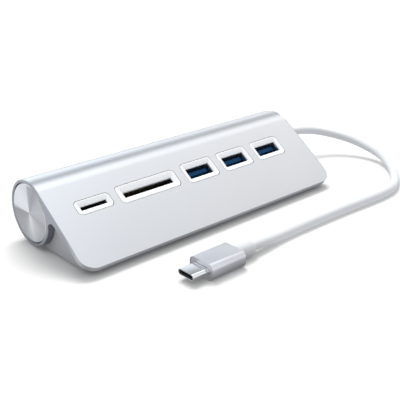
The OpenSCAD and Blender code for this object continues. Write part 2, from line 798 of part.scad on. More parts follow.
module swept_tube(p, r, sides, up = [0, 0, 1]) {
    last = len(p) - 1;
    points = [for (i = [0:last]) each ring_points(p, i, r, sides, up)];
    walls = [for (i = [0:last - 1], k = [0:sides - 1])
        let (a = i*sides + k, b = i*sides + (k + 1)%sides)
        each [[a, a + sides, b], [b, a + sides, b + sides]]];
    caps = [for (k = [1:sides - 2]) each [[0, k, k + 1],
        [last*sides, last*sides + k + 1, last*sides + k]]];
    polyhedron(points = points, faces = concat(walls, caps), convexity = 6);
}

module microsd_spring() {
    back = microsd_cavity_back_n + spring_wire_r + seat_gap;
    front = ejector_n - ejector_l - spring_wire_r - seat_gap;
    steps = spring_turns*12;
    coil_s = (microsd_s - microsd_cavity[1]/2 + microsd_top_s - cover_t)/2;
    coil_r = spring_r - spring_wire_r;
    color("silver") sloped() swept_tube(
        [for (i = [0:steps]) let (a = 30*i)
            [spring_x + coil_r*cos(a), coil_s + coil_r*sin(a), back + (front - back)*i/steps]],
        spring_wire_r, 6);
}

// ---- cable inside the housing ----

header_x = [board_half - 8, board_half - 4];
header_n = [-14, -7];
header_top_s = board_s + 3.5;
header_wall = 0.6;
header_floor = 1;
wire_r = 0.45;
wire_pitch = 1.45;               // of the wires in the header

module cable_header() {
    color("ivory") sloped() difference() {
        block(header_x, [board_s, header_top_s], header_n);
        block(header_x + [header_wall, -header_wall], [board_s + header_floor, header_top_s + over],
            header_n + [header_wall, -header_wall]);
    }
}

grommet_flange_r = 3.8;
grommet_flange_t = 1.2;
shoulder_r = 3.9;
shoulder_t = 1.1;
tail_r = [shoulder_r - 0.4, cable_d/2 + 0.35];   // at the shoulder and at the tip
groove_w = 0.7;
groove_pitch = 1.6;
groove_r = cable_d/2 + 0.1;
neck_x = disc_face_x + seat_gap;
grommet_back_x = plug_back_x + plug_skirt_l - seat_gap - grommet_flange_t;

// Strain relief in three steps: flange behind the cup, neck through cup and disc, tapered tail outside
module cable_grommet() {
    color("white") translate([0, drum_y, drum_z]) {
        laid_x(grommet_back_x) cylinder(r = grommet_flange_r, h = grommet_flange_t);
        laid_x(grommet_back_x) cylinder(r = neck_r, h = neck_x - grommet_back_x + eps);
        laid_x(neck_x) difference() {
            union() {
                cylinder(r = shoulder_r, h = shoulder_t);
                cylinder(r1 = tail_r[0], r2 = tail_r[1], h = exit_x - neck_x);
            }
            for (i = [0:2]) translate([0, 0, shoulder_t + 1 + groove_pitch*i]) difference() {
                cylinder(r = shoulder_r + over, h = groove_w);
                translate([0, 0, -over]) cylinder(r = groove_r, h = groove_w + 2*over);
            }
        }
    }
}

module cable_stub() {
    color("white") translate([0, drum_y, drum_z]) laid_x(stub_x)
        cylinder(r = cable_d/2, h = grommet_back_x - stub_x);
}

module cable_clamp() {
    color("whitesmoke") translate([0, drum_y, drum_z]) difference() {
        block([clamp_x - clamp_w/2, clamp_x + clamp_w/2], [-clamp_half_y, clamp_half_y],
            [clamp_split, clamp_top]);
        laid_x(clamp_x - clamp_w) cylinder(r = stub_hole_r, h = 2*clamp_w);
        for (y = [-1, 1]) translate([clamp_x, y*clamp_screw_y, -over])
            cylinder(r = clamp_screw_r + seat_gap, h = clamp_top + 2*over);
    }
}

module clamp_screws() {
    color("silver") translate([0, drum_y, drum_z]) for (y = [-1, 1])
        translate([clamp_x, y*clamp_screw_y, clamp_top + seat_gap + head_h]) rotate([180, 0, 0])
            screw(head_h + clamp_screw_l, clamp_head_r, clamp_screw_r);
}

// Wires from the stub's cut end to the header, drawn as (x, s, n)
module inner_wires() {
    hx = (header_x[0] + header_x[1])/2;
    color("firebrick") sloped() for (i = [0:3]) {
        n0 = -drum_r + 1.5 - i;
        n1 = header_n[1] - 1.3 - wire_pitch*i;
        x0 = stub_x - 3*slip_gap - wire_r;
        swept_tube([
            [x0 + 0.4, plate_run, n0],
            [x0 - 0.8, plate_run - 1.2, n0],
            [x0 - 1.2, plate_run - 3.2, n0],
            [(x0 + hx)/2, plate_run - 5.5, (n0 + n1)/2],
            [hx, header_top_s + 2.4, n1],
            [hx, header_top_s - 0.6, n1],
            [hx, board_s + header_floor + 0.3, n1],
        ], wire_r, 6, [0, 0.05, 1]);
    }
}

// ---- free cable and plug ----

module cable() { color("white") swept_tube(route, cable_d/2, 8); }

module on_plug() { translate([0, plug_y, plug_z]) children(); }

// Rounded prism along the plug's axis, from x0 to x1, its section given as (y, z)
module plug_prism(x0, x1, size, r) {
    translate([x0, 0, 0]) rotate([90, 0, 90]) linear_extrude(height = x1 - x0) rounded(size, r);
}

module plug_sleeve() {
    w = sleeve_wall;
    size = [sleeve[1], sleeve[2]];
    color("silver") on_plug() difference() {
        plug_prism(sleeve_x, collar_x, size, sleeve_r);
        plug_prism(sleeve_x + w, collar_x + over, size - 2*[w, w], sleeve_r - w);
        plug_prism(sleeve_x - over, sleeve_x + 2*w, tube_size + 2*[slip_gap, slip_gap], tube_size[1]/2);
    }
}

module plug_tube() {
    color("lightsteelblue") on_plug() difference() {
        plug_prism(tube_tip_x, tube_back_x, tube_size, tube_size[1]/2 - eps);
        plug_prism(tube_tip_x - over, tube_back_x + over, tube_size - 2*[tube_wall, tube_wall],
            tube_size[1]/2 - tube_wall - eps);
    }
}

insert_size = tube_size - 2*[tube_wall + lap, tube_wall + lap];
insert_mouth = [6.7, 0.95];
insert_mouth_r = 0.3;
insert_x = tube_tip_x + 0.4;
mouth_back_x = insert_x + 5.2;
pin_count = 12;                  // on each side of the mouth
pin_pitch = 0.5;
pin_size = [mouth_back_x - insert_x - 1, 0.24, 0.1];
pin_x = insert_x + 0.8;

module plug_insert() {
    color("#222222") on_plug() difference() {
        plug_prism(insert_x, tube_back_x, insert_size, insert_size[1]/2 - eps);
        plug_prism(insert_x - over, mouth_back_x, insert_mouth, insert_mouth_r);
    }
}

module plug_contacts() {
    color("gold") on_plug() for (i = [0:pin_count - 1], side = [-1, 1])
        translate([pin_x, pin_pitch*(i - (pin_count - 1)/2) - pin_size[1]/2,
            side > 0 ? insert_mouth[1]/2 - pin_size[2] : -insert_mouth[1]/2]) cube(pin_size);
}

// Small board that joins the tube's contacts to the cable's wires
module plug_board() {
    color("darkgreen") on_plug()
        block([tube_back_x + seat_gap, tube_back_x + plug_board_l], plug_board_w*[-0.5, 0.5],
            plug_board_t*[-0.5, 0.5]);
}

collar_taper = 0.8;
collar_end_r = collar_d/2 - 0.6;

// White inner mould that fills the sleeve's back and runs out as the collar
module plug_collar() {
    w = sleeve_wall + slip_gap;
    fill_x = tube_back_x + plug_board_l + 2*slip_gap;
    fill_end_x = collar_x - 3*slip_gap;
    color("white") on_plug() {
        plug_prism(fill_x, fill_end_x, [sleeve[1], sleeve[2]] - 2*[w, w], sleeve_r - w);
        laid_x(fill_end_x - eps) cylinder(r = sleeve[2]/2 - w, h = collar_x - fill_end_x + seat_gap + 2*eps);
        laid_x(collar_x + seat_gap) cylinder(r = collar_d/2, h = collar_l - seat_gap - collar_taper);
        laid_x(collar_x + collar_l - collar_taper - eps)
            cylinder(r1 = collar_d/2, r2 = collar_end_r, h = collar_taper + eps);
    }
}

housing();
end_disc_left();
end_disc_right();
end_plug_left();
end_plug_right();
base_cover();
front_foot();
rear_foot();
microsd_bezel();
sd_bezel();
usb_bezel_1();
usb_bezel_2();
usb_bezel_3();
port_carrier();
main_board();
usb_shell_1();
usb_shell_2();
usb_shell_3();
usb_tongue_1();
usb_tongue_2();
usb_tongue_3();
usb_contacts_1();
usb_contacts_2();
usb_contacts_3();
sd_cover();
sd_body();
sd_contacts();
microsd_cover();
microsd_body();
microsd_contacts();
microsd_ejector();
microsd_spring();
hub_chip();
card_chip();
crystal_can();
capacitors();
cable_header();
board_screws();
base_screws();
cable_grommet();
cable_stub();
cable_clamp();
clamp_screws();
inner_wires();
cable();
plug_collar();
plug_sleeve();
plug_tube();
plug_insert();
plug_contacts();
plug_board();
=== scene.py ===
# %% [markdown]
# # A desktop USB hub with card slots
# The real hub is one long aluminium extrusion: a sloped plate that runs back into a round drum. White plastic
# bezels fill the windows in the plate, turned discs close the drum, and a white cable leaves the right disc
# and ends in a small aluminium plug. This lesson loads the measured model, lays the cable, builds the parts
# whose roundings or turning marks matter to the eye, and gives every surface its finish.

# %% Load the measured model
import json
import math

import bmesh
import bpy
import numpy as np
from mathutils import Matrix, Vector

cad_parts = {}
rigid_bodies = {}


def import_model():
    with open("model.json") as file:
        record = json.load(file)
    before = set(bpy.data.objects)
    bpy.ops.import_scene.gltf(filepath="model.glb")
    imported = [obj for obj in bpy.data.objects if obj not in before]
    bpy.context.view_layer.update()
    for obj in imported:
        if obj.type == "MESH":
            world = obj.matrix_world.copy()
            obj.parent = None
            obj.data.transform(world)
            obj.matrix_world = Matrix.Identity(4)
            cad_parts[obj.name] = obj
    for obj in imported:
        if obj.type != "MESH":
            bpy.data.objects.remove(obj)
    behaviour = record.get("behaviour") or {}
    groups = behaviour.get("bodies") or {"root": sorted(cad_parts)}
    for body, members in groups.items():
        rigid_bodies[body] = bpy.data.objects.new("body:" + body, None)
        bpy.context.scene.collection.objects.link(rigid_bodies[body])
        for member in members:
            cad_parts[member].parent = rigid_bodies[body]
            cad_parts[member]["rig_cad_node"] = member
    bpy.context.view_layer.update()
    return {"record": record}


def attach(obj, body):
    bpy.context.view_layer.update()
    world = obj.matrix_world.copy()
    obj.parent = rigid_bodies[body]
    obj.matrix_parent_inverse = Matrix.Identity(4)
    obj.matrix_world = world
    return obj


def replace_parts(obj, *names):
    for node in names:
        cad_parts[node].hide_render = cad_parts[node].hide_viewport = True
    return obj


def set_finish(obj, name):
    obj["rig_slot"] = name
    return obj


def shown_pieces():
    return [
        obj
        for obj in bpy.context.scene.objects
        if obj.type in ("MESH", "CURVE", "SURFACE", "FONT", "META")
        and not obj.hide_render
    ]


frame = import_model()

MM = 0.001

# %% [markdown]
# ## The camera
# The camera stands to the front left, above the hub, with a slightly long lens, so that the plate, the left
# disc and the plug all face it. A camera that isn't tilted to the side needs only two angles: how far it is
# turned about the upright, and how far it looks down. Turned by neither, it would look level along +Y.

# %% Place the camera
CAMERA_PLACE = (-0.19934, -0.23348, 0.13693)
CAMERA_TURN, CAMERA_DOWN = -41.753, 23.410   # degrees
LENS_MM, SENSOR_MM = 69.8, 36

camera = bpy.data.objects.new("camera", bpy.data.cameras.new("camera"))
bpy.context.scene.collection.objects.link(camera)
camera.location = CAMERA_PLACE
camera.rotation_euler = (math.radians(90 - CAMERA_DOWN), 0, math.radians(CAMERA_TURN))
camera.data.lens = LENS_MM
camera.data.sensor_width = SENSOR_MM
camera.data.clip_start = 0.01
camera.data.clip_end = 50
bpy.context.scene.camera = camera
print("camera looks down by", CAMERA_DOWN, "degrees")

# %% [markdown]
# ## The free cable
# The cable is 4 mm thick. It runs straight out of its strain relief, down to the desk in a wide bend, and
# back along the front to its plug. The points are those of the measured model. A smooth line
# through them is worked out first, and the cable is made along it.

# %% Points of the cable's route, in millimetres
DRUM_Y, DRUM_Z = 12.077, 14.2
PLUG_Y, PLUG_Z = -49.6, 3.3
EXIT_X = 74.95
COLLAR_BACK_X = -9.0
ROUTE = np.array([
    [EXIT_X, DRUM_Y, DRUM_Z], [80, DRUM_Y, DRUM_Z], [86.6, 11.7, 13.6], [92.8, 10.3, 12.7], [98.5, 7.5, 11.5],
    [103.2, 3.4, 10.1], [107, -2, 8.7], [109.4, -8, 7.2], [110.3, -14.4, 5.7], [109.7, -21, 4.5],
    [107.4, -27, 3.5], [103.6, -32.6, 2.9], [99.2, -37.6, 2.4], [94, -42, 2.1], [88, -46, 2],
    [81.2, -48.8, 2], [73, -49.7, 2], [64, -49.5, 2], [55, -49.1, 2], [45, -48.7, 2], [36, -48.5, 2],
    [27, -48.4, 2], [18, -48.4, 2], [10, -48.6, 2.1], [3, -49, 2.5], [-3, -49.4, 3.1],
    [COLLAR_BACK_X + 2.5, PLUG_Y, PLUG_Z], [COLLAR_BACK_X, PLUG_Y, PLUG_Z],
]) * MM


def smooth_line(points, steps):
    """Catmull-Rom line: between two neighbours the place is a cubic in t whose end slopes are half the
    difference of the points on either side, so the line passes through every point without a corner."""
    p = np.vstack([2 * points[0] - points[1], points, 2 * points[-1] - points[-2]])
    a, b, c, d = p[:-3, None], p[1:-2, None], p[2:-1, None], p[3:, None]
    t = np.linspace(0, 1, steps, endpoint=False)[None, :, None]
    line = 0.5 * (2 * b + (c - a) * t + (2 * a - 5 * b + 4 * c - d) * t**2 + (3 * b - a - 3 * c + d) * t**3)
    return np.vstack([line.reshape(-1, 3), points[-1:]])


cable_line = smooth_line(ROUTE, 10)

# %% [markdown]
# ## Surfaces from numbers
# Every new piece is a grid of points: one direction runs along a profile, the other round it or along it.
# numpy works out all the points at once, and the faces join each point to its neighbours. The two makers
# below cover everything here: one turns a profile about an axis, the other stacks rounded rectangles.

# %% Turn a grid of points into a piece


def piece_from_grid(name, grid, slot, closed_round=True, body="hub"):
    """Mesh of a grid of points: cell (i, j) is the face between rows i, i+1 and columns j, j+1, and the
    last column joins the first where the grid closes round."""
    rows, columns = grid.shape[:2]
    index = np.arange(rows * columns).reshape(rows, columns)
    right = np.roll(index, -1, axis=1) if closed_round else index[:, 1:]
    left = index if closed_round else index[:, :-1]
    faces = np.stack([left[:-1], right[:-1], right[1:], left[1:]], axis=-1).reshape(-1, 4)
    mesh = bpy.data.meshes.new(name)
    mesh.from_pydata(grid.reshape(-1, 3).tolist(), [], faces.tolist())
    mesh.validate()
    made = bpy.data.objects.new(name, mesh)
    bpy.context.scene.collection.objects.link(made)
    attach(made, body)
    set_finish(made, slot)
    return made


def merge_and_face_outwards(piece, merge=1e-6):
    """Joins points that lie together, as at a pole, drops faces without area, and turns all faces out."""
    work = bmesh.new()
    work.from_mesh(piece.data)
    bmesh.ops.remove_doubles(work, verts=work.verts, dist=merge)
    bmesh.ops.dissolve_degenerate(work, edges=work.edges, dist=merge)
    bmesh.ops.recalc_face_normals(work, faces=work.faces)
    work.to_mesh(piece.data)
    work.free()


def shade_smooth_below(piece, degrees):
    """Smooth shading, with an edge kept sharp where its two faces turn by more than the angle."""
    piece.data.shade_smooth()
    piece.data.set_sharp_from_angle(angle=math.radians(degrees))


# %% [markdown]
# ## Giving the cable its thickness
# A curve object with a bevel would do for a cable, but a tube made from the same line has two advantages: its
# rings can carry a map of how far along and how far round a point lies, and it ends in a closed cap. At each
# point of the line two directions across it are needed, and they must not twist from ring to ring.

# %% Carry a circle along the line
CABLE_R = 2.0 * MM


def tube_along(line, radius, sides=28):
    """Rings across a line: with tangent t, side a = t x up made unit length, and rise b = a x t, the point at
    angle f on ring i is line_i + radius (cos f b + sin f a). The line never runs straight up, so up serves
    everywhere and the rings don't twist. Two shrunken rings close each end."""
    tangent = np.gradient(line, axis=0)
    tangent /= np.linalg.norm(tangent, axis=1, keepdims=True)
    side = np.cross(tangent, (0, 0, 1))
    side /= np.linalg.norm(side, axis=1, keepdims=True)
    rise = np.cross(side, tangent)
    f = np.linspace(0, 2 * math.pi, sides, endpoint=False)[None, :, None]
    share = np.ones(len(line) + 4)
    share[[0, -1]], share[[1, -2]] = 0.0, 0.9
    order = np.r_[0, 0, np.arange(len(line)), len(line) - 1, len(line) - 1]
    across = np.cos(f) * rise[order, None] + np.sin(f) * side[order, None]
    return line[order, None] + radius * share[:, None, None] * across


free_cable = piece_from_grid("free_cable", tube_along(cable_line, CABLE_R), "cable_white")
merge_and_face_outwards(free_cable)
shade_smooth_below(free_cable, 50)
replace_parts(free_cable, "cable")
print("cable faces", len(free_cable.data.polygons))

# %% [markdown]
# ## Turned parts
# The two end discs are turned on a lathe, and the tool leaves fine rings on the face, which spread every
# reflection into a fan of light and dark sectors. A bump map could fake the rings, but grooves in the profile
# itself hold in any viewer. So few and such coarse rings give only part of the fan, and the rest is a painted
# reflection: a tone by angle in the disc's colour, further on.

# %% A turning maker, and the profile of a spun disc


def turned(name, profile, x0, direction, slot, segments=192, centre=(DRUM_Y, DRUM_Z)):
    """Surface of revolution about an axis along X: the point at profile (r, h) and angle a lies at
    x = x0 + direction*h, y = cy + r cos a, z = cz + r sin a."""
    r, h = np.asarray(profile, float).T
    a = np.linspace(0, 2 * math.pi, segments, endpoint=False)
    grid = np.empty((len(r), segments, 3))
    grid[..., 0] = (x0 + direction * h)[:, None]
    grid[..., 1] = centre[0] + r[:, None] * np.cos(a)
    grid[..., 2] = centre[1] + r[:, None] * np.sin(a)
    made = piece_from_grid(name, grid * MM, slot)
    merge_and_face_outwards(made)
    return made


def grooved_face(r_in, r_out, pitch, depth, height, per_ring=7):
    """Face with turning rings: its height falls by depth/2 (1 - cos(2 pi r / pitch)) below the given one."""
    rings = max(1, round((r_out - r_in) / pitch))
    t = np.linspace(0, 1, rings * per_ring + 1)
    r = r_in + (r_out - r_in) * t
    return np.column_stack([r, height - depth / 2 * (1 - np.cos(2 * math.pi * rings * t))])


DISC_R, DISC_T, DISC_CHAMFER, DISC_BACK_X = 12.0, 1.6, 0.45, 66.25
RING_PITCH, RING_DEPTH = 0.3, 0.034


def disc_profile(hole):
    """From the hole's edge out over the grooved face, round the bright chamfer, and back behind the disc."""
    face_r = DISC_R - DISC_CHAMFER
    face = grooved_face(max(hole, 0.02), face_r, RING_PITCH, RING_DEPTH, DISC_T)
    soft = 0.05
    edge = [[face_r + soft, DISC_T - soft / 2], [DISC_R - soft, DISC_T - DISC_CHAMFER + soft],
            [DISC_R, DISC_T - DISC_CHAMFER - soft], [DISC_R, 0.0], [hole, 0.0]]
    start = [[0.0, DISC_T]] if hole == 0 else [[hole, DISC_T - 0.05]]
    closing = [[0.0, 0.0]] if hole == 0 else [[hole, DISC_T - 0.05]]
    return np.vstack([start, face, edge, closing])


left_disc = turned("spun_disc_left", disc_profile(0), -DISC_BACK_X, -1, "spun_disc")
right_disc = turned("spun_disc_right", disc_profile(2.95), DISC_BACK_X, 1, "spun_disc")
for disc, node in ((left_disc, "end_disc_left"), (right_disc, "end_disc_right")):
    shade_smooth_below(disc, 50)
    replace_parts(disc, node)
print("disc faces", len(left_disc.data.polygons), len(right_disc.data.polygons))

# %% [markdown]
# ## Bezels
# Each window in the plate holds a moulded bezel: a flush rim, four sloped faces that lead the plug or card
# in, and a straight throat. Seen close, what sells such a part is how its edges catch the light, so each edge
# gets a small rounding. A stack of rounded rectangles, each with its size, corner radius and depth, gives all
# of that with one formula.

# %% A maker that stacks rounded rectangles
PLATE_SLOPE = math.radians(35.2)
LIP_Y, LIP_Z = -25.698, 3.937


def rounded_ring(width, height, radius, corner_steps=10):
    """Points round a rectangle with round corners: each corner's centre plus radius times (cos a, sin a)."""
    a = np.linspace(0, math.pi / 2, corner_steps)
    angle = a[None, :] + np.arange(4)[:, None] * math.pi / 2
    signs = np.array([[1, 1], [-1, 1], [-1, -1], [1, -1]])
    centre = signs * (np.array([width, height]) / 2 - radius)
    ring = centre[:, None, :] + radius * np.stack([np.cos(angle), np.sin(angle)], axis=-1)
    return ring.reshape(-1, 2)


def on_plate(u, s, n):
    """Sloped frame to row frame: s runs up the plate from its lip, n stands out of its face."""
    c, k = math.cos(PLATE_SLOPE), math.sin(PLATE_SLOPE)
    return np.stack([u, LIP_Y + s * c - n * k, LIP_Z + s * k + n * c], axis=-1)


def along_plug(u, v, level):
    """Section (u, v) across the plug's axis, at a level along X."""
    return np.stack([level + 0 * u, PLUG_Y + u, PLUG_Z + v], axis=-1)


def stacked(name, rings, centre, place, slot, sharp=32):
    """Closed skin through a stack of rings (width, height, radius, shift of v, level): ring k's points move
    straight to ring k+1's, and the last ring joins the first."""
    grid = []
    for width, height, radius, shift, level in rings + rings[:1]:
        ring = rounded_ring(width, height, radius)
        grid.append(place(ring[:, 0] + centre[0], ring[:, 1] + centre[1] + shift, np.full(len(ring), level)))
    made = piece_from_grid(name, np.array(grid) * MM, slot)
    merge_and_face_outwards(made)
    shade_smooth_below(made, sharp)
    return made


# %% Make the five bezels
PORT_ROW = 25.2
BEZEL_R, BEZEL_RIM, BEZEL_DISH = 1.8, 0.42, 0.55
FLANGE_LAP, FLANGE_TOP, FLANGE_BACK = 1.0, -2.75, -3.75
BEZEL_EDGE, BEZEL_LEAD = 0.09, 0.12         # rounding of the outer edge, and of the edge into the throat
THROAT_N = -1.05                            # where the throat opens into the pocket
USB_FIRST_X, USB_PITCH = 4.4, 20.6


def bezel(name, x, size, mouth, mouth_shift, pocket, pocket_shift):
    """Rings from the flange's back, up the outer wall, over the rounded rim, down the sloped face, round its
    lower edge into the throat, and out over the pocket for the socket's nose."""
    (w, h), (mw, mh), (pw, ph) = size, mouth, pocket
    edge, lead = BEZEL_EDGE, BEZEL_LEAD
    fw, fh = w + 2 * FLANGE_LAP, h + 2 * FLANGE_LAP
    iw, ih = w - 2 * BEZEL_RIM, h - 2 * BEZEL_RIM
    rings = [
        (fw, fh, BEZEL_R, 0, FLANGE_BACK),
        (fw, fh, BEZEL_R, 0, FLANGE_TOP),
        (w, h, BEZEL_R, 0, FLANGE_TOP),
        (w, h, BEZEL_R, 0, -edge),
        (w - 0.6 * edge, h - 0.6 * edge, BEZEL_R, 0, -0.3 * edge),
        (w - 2 * edge, h - 2 * edge, BEZEL_R - edge, 0, 0),
        (iw + 0.1, ih + 0.1, BEZEL_R - BEZEL_RIM, 0, 0),
        (iw - 0.1, ih - 0.1, BEZEL_R - BEZEL_RIM, 0, -0.03),
        (mw + 2 * lead, mh + 2 * lead, 0.32, mouth_shift, 0.05 - BEZEL_DISH),
        (mw + 0.5 * lead, mh + 0.5 * lead, 0.24, mouth_shift, -0.02 - BEZEL_DISH),
        (mw, mh, 0.2, mouth_shift, -BEZEL_DISH - 1.2 * lead),
        (mw, mh, 0.2, mouth_shift, THROAT_N),
        (pw, ph, 0.15, pocket_shift, THROAT_N),
        (pw, ph, 0.15, pocket_shift, FLANGE_BACK),
    ]
    made = stacked(name, rings, (x, PORT_ROW), on_plate, "bezel_white")
    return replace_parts(made, name.replace("moulded_", ""))


bezel("moulded_microsd_bezel", -49.5, (16, 6.2), (11.9, 1.75), -0.2, (14.2, 2.3), -0.2)
bezel("moulded_sd_bezel", -23.1, (29.8, 8.1), (24.6, 2.6), -0.3, (27.6, 3.1), -0.45)
for number in (1, 2, 3):
    usb_x = USB_FIRST_X + USB_PITCH * (number - 1)
    bezel(f"moulded_usb_bezel_{number}", usb_x, (16.8, 9.8), (12.8, 5.1), -0.2, (13.3, 5.9), -0.2)

# %% [markdown]
# ## The plug
# The plug is a short block of aluminium tube with its front turned in to a thin rim round a flat face, a
# polished steel mouth, and a white collar that the cable grows out of. The same stack of rounded rectangles
# makes the sleeve and the mouth, because a rectangle whose radius is half its height is an oval.

# %% Sleeve, mouth and collar of the plug
SLEEVE_X, SLEEVE_BACK_X = -34.8, -18.0
SLEEVE_W, SLEEVE_H, SLEEVE_R, SLEEVE_WALL = 12.5, 6.6, 2.4, 0.9
TUBE_W, TUBE_H, TUBE_TIP_X, TUBE_BACK_X = 8.3, 2.5, -42.1, -30.3


def around(width, height, radius, inset, level):
    """A ring drawn in from the given size by an inset, its corners drawn in with it."""
    return (width - 2 * inset, height - 2 * inset, max(radius - inset, 0.05), 0, level)


def sleeve_ring(inset, level):
    return around(SLEEVE_W, SLEEVE_H, SLEEVE_R, inset, level)


def tube_ring(inset, level):
    return around(TUBE_W, TUBE_H, TUBE_H / 2 - 0.001, inset, level)


face_x = SLEEVE_X + 0.22
sleeve_skin = stacked("plug_sleeve_skin", [
    sleeve_ring(0.0, SLEEVE_X + 0.2), sleeve_ring(0.05, SLEEVE_X + 0.07), sleeve_ring(0.16, SLEEVE_X),
    sleeve_ring(0.42, SLEEVE_X), sleeve_ring(0.48, SLEEVE_X + 0.04), sleeve_ring(0.5, face_x),
    tube_ring(-0.16, face_x), tube_ring(-0.1, face_x + 0.06), tube_ring(-0.1, SLEEVE_X + 1.1),
    sleeve_ring(SLEEVE_WALL, SLEEVE_X + 1.1), sleeve_ring(SLEEVE_WALL, SLEEVE_BACK_X),
    sleeve_ring(0.14, SLEEVE_BACK_X), sleeve_ring(0.04, SLEEVE_BACK_X - 0.06),
    sleeve_ring(0.0, SLEEVE_BACK_X - 0.18),
], (0, 0), along_plug, "plug_aluminium")
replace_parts(sleeve_skin, "plug_sleeve")

mouth_tube = stacked("plug_mouth_tube", [
    tube_ring(0.0, TUBE_BACK_X), tube_ring(0.0, TUBE_TIP_X + 0.22), tube_ring(0.04, TUBE_TIP_X + 0.08),
    tube_ring(0.12, TUBE_TIP_X), tube_ring(0.2, TUBE_TIP_X), tube_ring(0.27, TUBE_TIP_X + 0.06),
    tube_ring(0.3, TUBE_TIP_X + 0.2), tube_ring(0.3, TUBE_BACK_X),
], (0, 0), along_plug, "polished_steel")
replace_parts(mouth_tube, "plug_tube")


def turned_closed(name, profile, x0, slot, centre, sharp=40):
    """A turned part whose profile starts and ends on a common ring, so that its skin is closed."""
    made = turned(name, profile + profile[:1], x0, 1, slot, segments=96, centre=centre)
    shade_smooth_below(made, sharp)
    return made


CABLE_BORE_R = 1.0               # the collar and grommet close up on the cable's core, out of sight
collar_skin = turned_closed("plug_collar_skin", [
    [CABLE_BORE_R, -1.5], [2.3, -1.5], [2.3, 0.06], [2.9, 0.08], [3.04, 0.14], [3.1, 0.3], [3.1, 7.6],
    [3.07, 8.0], [2.95, 8.5], [2.7, 8.85], [2.35, 9.0], [CABLE_BORE_R, 9.0],
], SLEEVE_BACK_X, "cable_white", (PLUG_Y, PLUG_Z))
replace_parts(collar_skin, "plug_collar")
print("plug pieces", sleeve_skin.name, mouth_tube.name, collar_skin.name)

# %% [markdown]
# ## The strain relief
# Where the cable leaves the disc, a soft grommet keeps it from kinking: a shoulder against the disc, then a
# tapered tail with three grooves that let it bend. It is round everywhere, so it is turned like the discs.

# %% Turn the grommet
NECK_X, SHOULDER_T, TAIL_L = 67.9, 1.1, 7.05
TAIL_R, TAIL_END_R = 3.5, 2.35
GROOVES, GROOVE_PITCH = 3, 1.6


def tail_radius(h):
    """The tail tapers evenly: its radius falls by the same amount for each millimetre along it."""
    return TAIL_R - (TAIL_R - TAIL_END_R) * h / TAIL_L


profile = [
    [CABLE_BORE_R, -6.0], [2.85, -6.0], [2.85, 0.0], [3.75, 0.0], [3.88, 0.06], [3.9, 0.2],
    [3.9, SHOULDER_T - 0.25], [3.84, SHOULDER_T - 0.08], [3.7, SHOULDER_T],
    [tail_radius(SHOULDER_T) + 0.05, SHOULDER_T + 0.03],
]
for groove in range(GROOVES):
    h = SHOULDER_T + 1 + GROOVE_PITCH * groove
    profile += [[tail_radius(h - 0.1), h - 0.12], [tail_radius(h) - 0.12, h],
                [2.15, h + 0.12], [2.1, h + 0.35], [2.15, h + 0.58],
                [tail_radius(h + 0.7) - 0.12, h + 0.7], [tail_radius(h + 0.8), h + 0.82]]
profile += [[tail_radius(TAIL_L - 0.25), TAIL_L - 0.25], [2.28, TAIL_L - 0.05], [2.15, TAIL_L],
            [CABLE_BORE_R, TAIL_L]]
grommet_skin = turned_closed("cable_grommet_skin", profile, NECK_X, "cable_white", (DRUM_Y, DRUM_Z), 50)
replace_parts(grommet_skin, "cable_grommet")
print("grommet faces", len(grommet_skin.data.polygons))

# %% [markdown]

# %% [markdown]
# ## Writing shaders as sums
# A finish is a small network of nodes, and most of its nodes only add or multiply. The class below wraps one
# output of a node, so that a line such as 0.3 + 0.1 * grain adds the Math nodes by itself. Any other kind of
# node comes from one method that takes its kind, its settings and its sockets.

# %% A signal that can be added and multiplied


def feed(tree, socket, value):
    """Links a signal to a socket, or sets the socket to a plain value."""
    if isinstance(value, Signal):
        tree.links.new(value.socket, socket)
    else:
        socket.default_value = value


class Signal:
    """One output socket. Arithmetic on it adds Math nodes to its tree."""

    def __init__(self, socket):
        self.socket = socket

    def math(self, operation, *values):
        tree = self.socket.id_data
        node = tree.nodes.new("ShaderNodeMath")
        node.operation = operation
        for socket, value in zip(node.inputs, values):
            feed(tree, socket, value)
        return Signal(node.outputs[0])

    def __add__(self, other):
        return self.math("ADD", self, other)

    def __sub__(self, other):
        return self.math("SUBTRACT", self, other)

    def __rsub__(self, other):
        return self.math("SUBTRACT", other, self)

    def __mul__(self, other):
        return self.math("MULTIPLY", self, other)

    def __truediv__(self, other):
        return self.math("DIVIDE", self, other)

    def __pow__(self, other):
        return self.math("POWER", self, other)

    __radd__, __rmul__ = __add__, __mul__

    def without_sign(self):
        return self.math("ABSOLUTE", self)

    def at_least(self, low):
        return self.math("MAXIMUM", self, low)

    def angle_over(self, other):
        """Angle in radians whose tangent is this signal over the other, right in all four quarters."""
        return self.math("ARCTAN2", self, other)

    def between(self, low, high):
        """0 below low and 1 above high, with a smooth step from one to the other."""
        tree = self.socket.id_data
        node = tree.nodes.new("ShaderNodeMapRange")
        node.interpolation_type = "SMOOTHSTEP"
        for name, value in (("Value", self), ("From Min", low), ("From Max", high)):
            feed(tree, node.inputs[name], value)
        return Signal(node.outputs[0])


